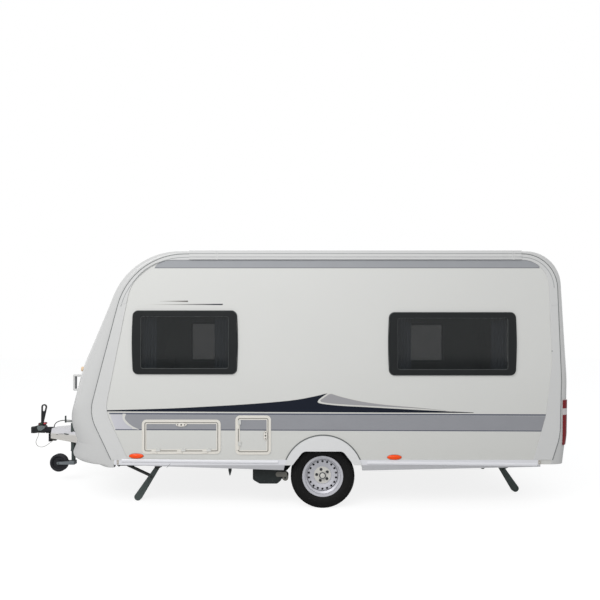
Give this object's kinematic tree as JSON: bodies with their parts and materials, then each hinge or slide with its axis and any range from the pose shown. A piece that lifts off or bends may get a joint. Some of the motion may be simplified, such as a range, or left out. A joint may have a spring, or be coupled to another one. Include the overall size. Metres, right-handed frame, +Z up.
{
  "type": "travel caravan",
  "caption": "Touring caravan with a hollow cabin, moulded nose with gas locker, tinted windows, braked axle, jockey wheel, corner steadies, entrance door and service flaps",
  "frame": {"origin": "centre of the bounding box, on the ground", "axes": "+X to the rear, +Y to the entrance door side, +Z up"},
  "size_m": [5.6668, 2.344, 2.554],
  "materials": {
    "wall_skin": "satin painted sheet",
    "moulding": "moulded body panel",
    "window_frame": "dark gloss",
    "window_pane": "tinted acrylic",
    "roof_light": "milky acrylic",
    "floor_board": "faced board",
    "furniture": "faced board",
    "cushion": "woven cover",
    "curtain": "light weave",
    "lamp": "lens",
    "plate": "blank",
    "zinc": "galvanised",
    "black_paint": "black",
    "drum": "bare",
    "rim": "silver",
    "tyre": "rubber",
    "soft_black": "rubber",
    "black_plastic": "moulded",
    "cover": "moulded",
    "cable": "sheathed steel"
  },
  "bodies": {
    "body": {"arch_trims": "moulding", "axle_tube": "zinc", "bellows": "soft_black", "body_fittings": "moulding", "breakaway_cable": "cable", "chassis_frame": "zinc", "connection_lead": "soft_black", "coupling_head": "black_paint", "curtains": "curtain", "cushions": "cushion", "drawbar_cover": "cover", "edge_trims": "wall_skin", "flap_frames": "moulding", "floor_panel": "floor_board", "furniture": "furniture", "gas_bulkhead": "floor_board", "jockey_clamp": "zinc", "lamps": "lamp", "lead_plug": "black_plastic", "levers": "black_plastic", "mover_drives": "black_paint", "nose_apron": "moulding", "nose_panel": "moulding", "number_plate": "plate", "overrun_housing": "black_paint", "roof_panel": "moulding", "roof_rails": "moulding", "rooflights": "roof_light", "side_wall_left": "wall_skin", "side_wall_right": "wall_skin", "skirts": "moulding", "steady_mounts": "zinc", "swing_arms": "zinc", "tail_panel": "moulding", "window_frames": "window_frame", "window_panes": "window_pane"},
    "wheel_left": {"tyre_left": "tyre", "rim_left": "rim", "brake_drum_left": "drum"},
    "wheel_right": {"tyre_right": "tyre", "rim_right": "rim", "brake_drum_right": "drum"},
    "entrance_door": {"door": "wall_skin", "door_glass": "window_pane"},
    "storage_flap": {"storage_flap": "wall_skin"},
    "service_flap": {"service_flap": "wall_skin"},
    "gas_lid": {"gas_lid": "moulding"},
    "jockey_stem": {"jockey_stem": "zinc"},
    "jockey_fork": {"jockey_fork": "zinc"},
    "jockey_wheel": {"jockey_wheel": "soft_black"},
    "leg_front_left": {"steady_leg_front_left": "zinc"},
    "strut_front_left": {"steady_strut_front_left": "zinc"},
    "leg_front_right": {"steady_leg_front_right": "zinc"},
    "strut_front_right": {"steady_strut_front_right": "zinc"},
    "leg_rear_left": {"steady_leg_rear_left": "zinc"},
    "strut_rear_left": {"steady_strut_rear_left": "zinc"},
    "leg_rear_right": {"steady_leg_rear_right": "zinc"},
    "strut_rear_right": {"steady_strut_rear_right": "zinc"}
  },
  "joints": [
    {"name": "wheel_left_spin", "type": "hinge", "parent": "body", "child": "wheel_left", "pos_m": [0.5005, -0.995, 0.307], "axis": [0, 1, 0], "continuous": true},
    {"name": "wheel_right_spin", "type": "hinge", "parent": "body", "child": "wheel_right", "pos_m": [0.5005, 0.995, 0.307], "axis": [0, 1, 0], "continuous": true},
    {"name": "door_hinge", "type": "hinge", "parent": "body", "child": "entrance_door", "pos_m": [-0.562, 1.158, 1.329], "axis": [0, 0, 1], "range_deg": [0, 165]},
    {"name": "storage_flap_hinge", "type": "hinge", "parent": "body", "child": "storage_flap", "pos_m": [-0.8365, -1.158, 0.569], "axis": [1, 0, 0], "range_deg": [0, 150]},
    {"name": "service_flap_hinge", "type": "hinge", "parent": "body", "child": "service_flap", "pos_m": [-0.2965, -1.158, 0.717], "axis": [0, 0, -1], "range_deg": [0, 150]},
    {"name": "gas_lid_hinge", "type": "hinge", "parent": "body", "child": "gas_lid", "pos_m": [-1.94355, 0, 1.287], "axis": [0, 1, 0], "range_deg": [0, 90]},
    {"name": "jockey_lift", "type": "slide", "parent": "body", "child": "jockey_stem", "axis": [0, 0, 1], "range_m": [-0.12, 0.05]},
    {"name": "jockey_swivel", "type": "hinge", "parent": "jockey_stem", "child": "jockey_fork", "pos_m": [-2.28, -0.15, 0.237], "axis": [0, 0, 1], "continuous": true},
    {"name": "jockey_roll", "type": "hinge", "parent": "jockey_fork", "child": "jockey_wheel", "pos_m": [-2.44, -0.15, 0.227], "axis": [0, 1, 0], "continuous": true},
    {"name": "leg_front_left_pivot", "type": "hinge", "parent": "body", "child": "leg_front_left", "pos_m": [-1.15, -0.805, 0.338], "axis": [0, 1, 0], "range_deg": [-12, 52]},
    {"name": "strut_front_left_pivot", "type": "hinge", "parent": "leg_front_left", "child": "strut_front_left", "pos_m": [-1.21263, -0.805, 0.24155], "axis": [0, 1, 0], "range_deg": [-75, 20]},
    {"name": "leg_front_right_pivot", "type": "hinge", "parent": "body", "child": "leg_front_right", "pos_m": [-1.15, 0.805, 0.338], "axis": [0, 1, 0], "range_deg": [-12, 52]},
    {"name": "strut_front_right_pivot", "type": "hinge", "parent": "leg_front_right", "child": "strut_front_right", "pos_m": [-1.21263, 0.805, 0.24155], "axis": [0, 1, 0], "range_deg": [-75, 20]},
    {"name": "leg_rear_left_pivot", "type": "hinge", "parent": "body", "child": "leg_rear_left", "pos_m": [2.377, -0.5, 0.338], "axis": [0, -1, 0], "range_deg": [-12, 52]},
    {"name": "strut_rear_left_pivot", "type": "hinge", "parent": "leg_rear_left", "child": "strut_rear_left", "pos_m": [2.43963, -0.5, 0.24155], "axis": [0, -1, 0], "range_deg": [-75, 20]},
    {"name": "leg_rear_right_pivot", "type": "hinge", "parent": "body", "child": "leg_rear_right", "pos_m": [2.377, 0.5, 0.338], "axis": [0, -1, 0], "range_deg": [-12, 52]},
    {"name": "strut_rear_right_pivot", "type": "hinge", "parent": "leg_rear_right", "child": "strut_rear_right", "pos_m": [2.43963, 0.5, 0.24155], "axis": [0, -1, 0], "range_deg": [-75, 20]}
  ],
  "couplings": [
    {"joint": "strut_front_left_pivot", "follows": "leg_front_left_pivot", "ratio": -1.36},
    {"joint": "strut_front_right_pivot", "follows": "leg_front_right_pivot", "ratio": -1.36},
    {"joint": "strut_rear_left_pivot", "follows": "leg_rear_left_pivot", "ratio": -1.36},
    {"joint": "strut_rear_right_pivot", "follows": "leg_rear_right_pivot", "ratio": -1.36}
  ]
}
